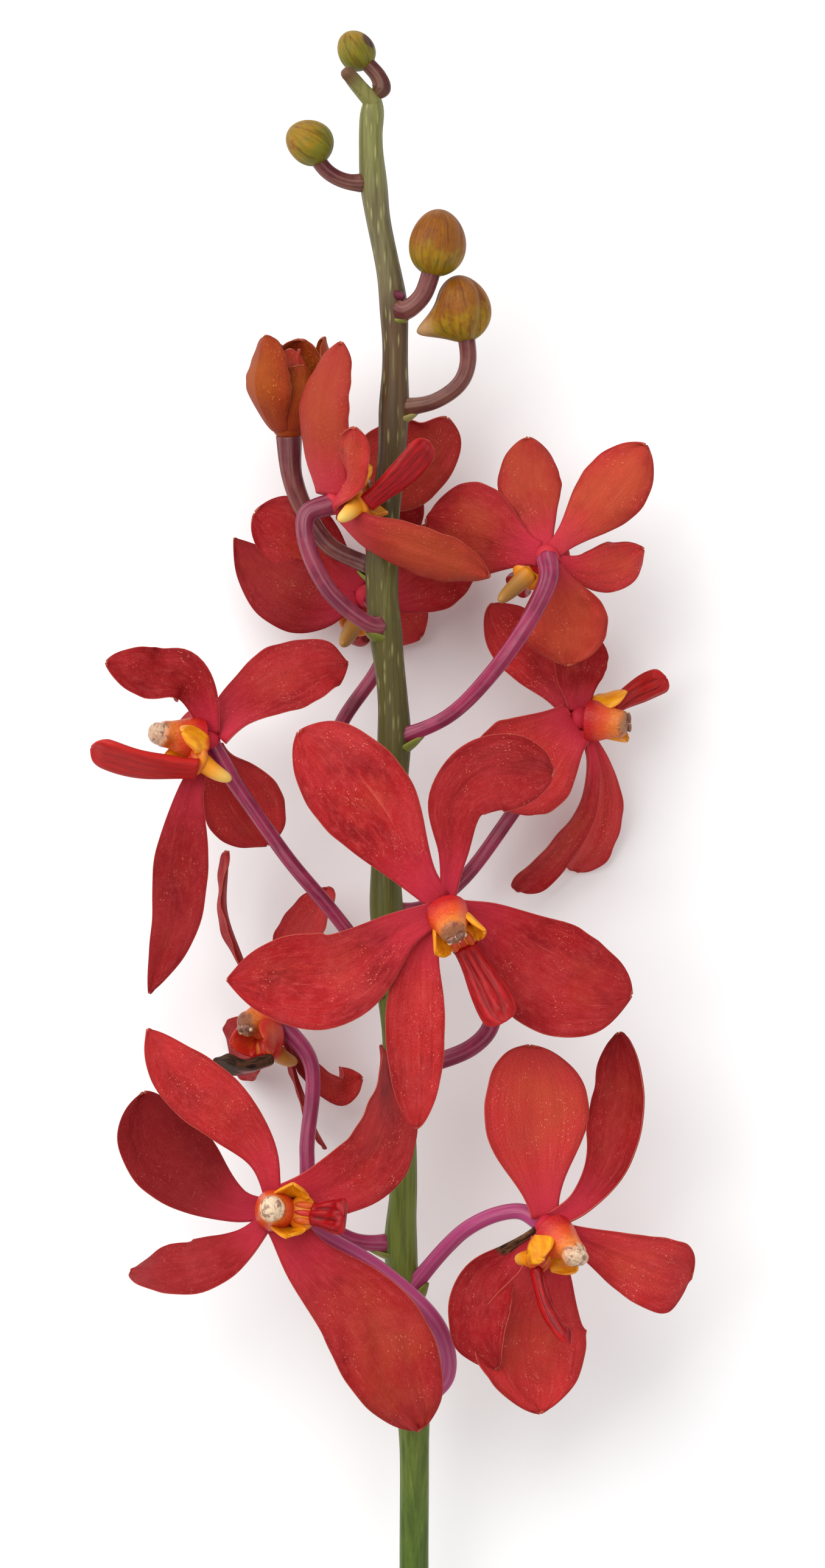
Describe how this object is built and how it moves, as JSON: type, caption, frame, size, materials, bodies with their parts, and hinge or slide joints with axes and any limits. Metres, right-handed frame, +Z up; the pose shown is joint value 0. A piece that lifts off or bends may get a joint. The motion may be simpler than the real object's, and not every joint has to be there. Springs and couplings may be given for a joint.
{
  "type": "cut mokara orchid stem",
  "caption": "Cut mokara orchid stem lying down: coral-red open blooms with ridged crimson lips, a half-open bloom and closed buds on a green stalk.",
  "frame": {"origin": "on the surface that the stem lies on, under the middle of the whole object's box", "axes": "+Y along the stem from the cut end to the buds, +Z up from the surface, towards the viewer of the picture; +X to the picture's right"},
  "size_m": [0.1057, 0.3541, 0.0576],
  "materials": {
    "stem": "smooth green stalk, olive and grey-brown towards the tip",
    "stalks": "smooth maroon to lilac-pink flower stalks with pale ribs",
    "bud_stalks": "smooth brownish pink and green bud stalks",
    "tepals": "soft satin coral-red petals with fine pale speckles and veins",
    "young_tepals": "soft satin orange-brown petals of a young bloom",
    "column": "waxy column, orange-red at the foot and cream at the cap",
    "throat": "waxy golden yellow lobes and spur",
    "lip": "waxy deep crimson, ridged",
    "buds": "satin yellow-green to orange-brown closed buds"
  },
  "bodies": {
    "root": {"stem": "stem", "bloom_1_tepals": "tepals", "bloom_1_column": "column", "bloom_1_throat": "throat", "bloom_1_lip": "lip", "bloom_1_stalk": "stalks", "bloom_2_tepals": "tepals", "bloom_2_column": "column", "bloom_2_throat": "throat", "bloom_2_lip": "lip", "bloom_2_stalk": "stalks", "bloom_3_tepals": "tepals", "bloom_3_column": "column", "bloom_3_throat": "throat", "bloom_3_lip": "lip", "bloom_3_stalk": "stalks", "bloom_4_tepals": "tepals", "bloom_4_column": "column", "bloom_4_throat": "throat", "bloom_4_lip": "lip", "bloom_4_stalk": "stalks", "bloom_5_tepals": "tepals", "bloom_5_column": "column", "bloom_5_throat": "throat", "bloom_5_lip": "lip", "bloom_5_stalk": "stalks", "bloom_6_tepals": "tepals", "bloom_6_column": "column", "bloom_6_throat": "throat", "bloom_6_lip": "lip", "bloom_6_stalk": "stalks", "bloom_7_tepals": "tepals", "bloom_7_column": "column", "bloom_7_throat": "throat", "bloom_7_lip": "lip", "bloom_7_stalk": "stalks", "bloom_8_tepals": "tepals", "bloom_8_column": "column", "bloom_8_throat": "throat", "bloom_8_lip": "lip", "bloom_8_stalk": "stalks", "bloom_9_tepals": "tepals", "bloom_9_column": "column", "bloom_9_throat": "throat", "bloom_9_lip": "lip", "bloom_9_stalk": "stalks", "opening_bloom_tepals": "young_tepals", "opening_bloom_stalk": "stalks", "bud_1": "buds", "bud_1_stalk": "bud_stalks", "bud_2": "buds", "bud_2_stalk": "bud_stalks", "bud_3": "buds", "bud_3_stalk": "bud_stalks", "bud_4": "buds", "bud_4_stalk": "bud_stalks"}
  },
  "joints": []
}
